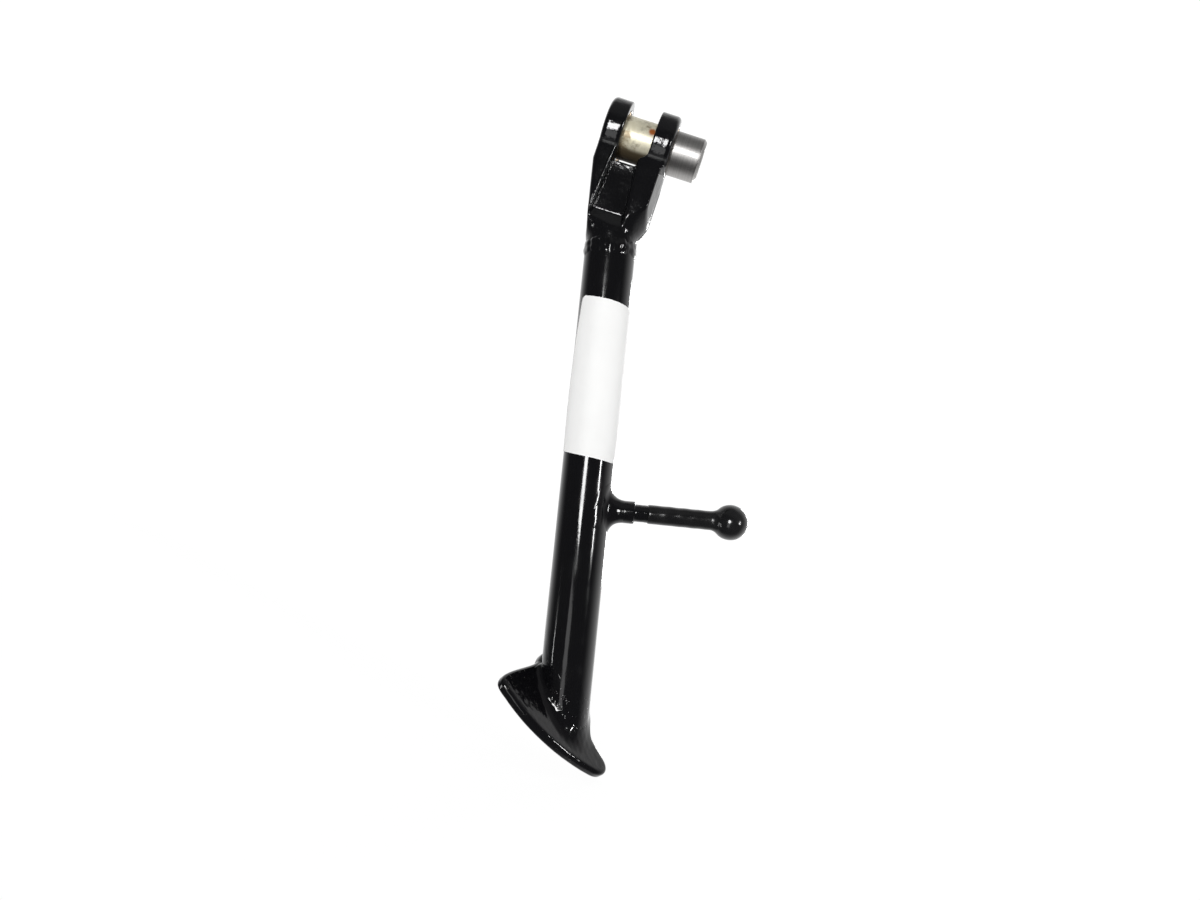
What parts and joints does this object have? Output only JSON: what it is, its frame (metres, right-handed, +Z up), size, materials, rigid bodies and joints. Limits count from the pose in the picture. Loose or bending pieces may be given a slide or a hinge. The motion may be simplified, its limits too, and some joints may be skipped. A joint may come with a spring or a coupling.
{
  "type": "motorcycle side stand",
  "caption": "Side stand with a forked head on a pivot sleeve, a tubular leg, a tilted foot plate and a ball-ended kick lever.",
  "frame": {"origin": "on the pivot axis, midway between the two ears of the fork", "axes": "+X along the pivot axis, outboard, towards the longer end of the sleeve; +Z up past the ears, against the leg; +Y towards the rear of the machine"},
  "size_m": [0.1129, 0.0381, 0.2791],
  "materials": {
    "black_paint": "gloss powder coat",
    "sleeve_steel": "fine turned",
    "bush_bronze": "satin",
    "grip": "gloss",
    "sticker": "matt"
  },
  "bodies": {
    "sleeve": {"pivot_sleeve": "sleeve_steel"},
    "stand": {"fork_head": "black_paint", "ear_bush_inboard": "bush_bronze", "ear_bush_outboard": "bush_bronze", "head_weld": "black_paint", "leg_tube": "black_paint", "foot_weld": "black_paint", "foot_plate": "black_paint", "lever_weld": "black_paint", "lever_boss": "black_paint", "lever_rod": "black_paint", "lever_grip": "grip", "label": "sticker"}
  },
  "joints": [
    {"name": "stand_swing", "type": "hinge", "parent": "sleeve", "child": "stand", "pos_m": [0, 0, 0], "axis": [1, 0, 0], "range_deg": [0, 105]}
  ]
}
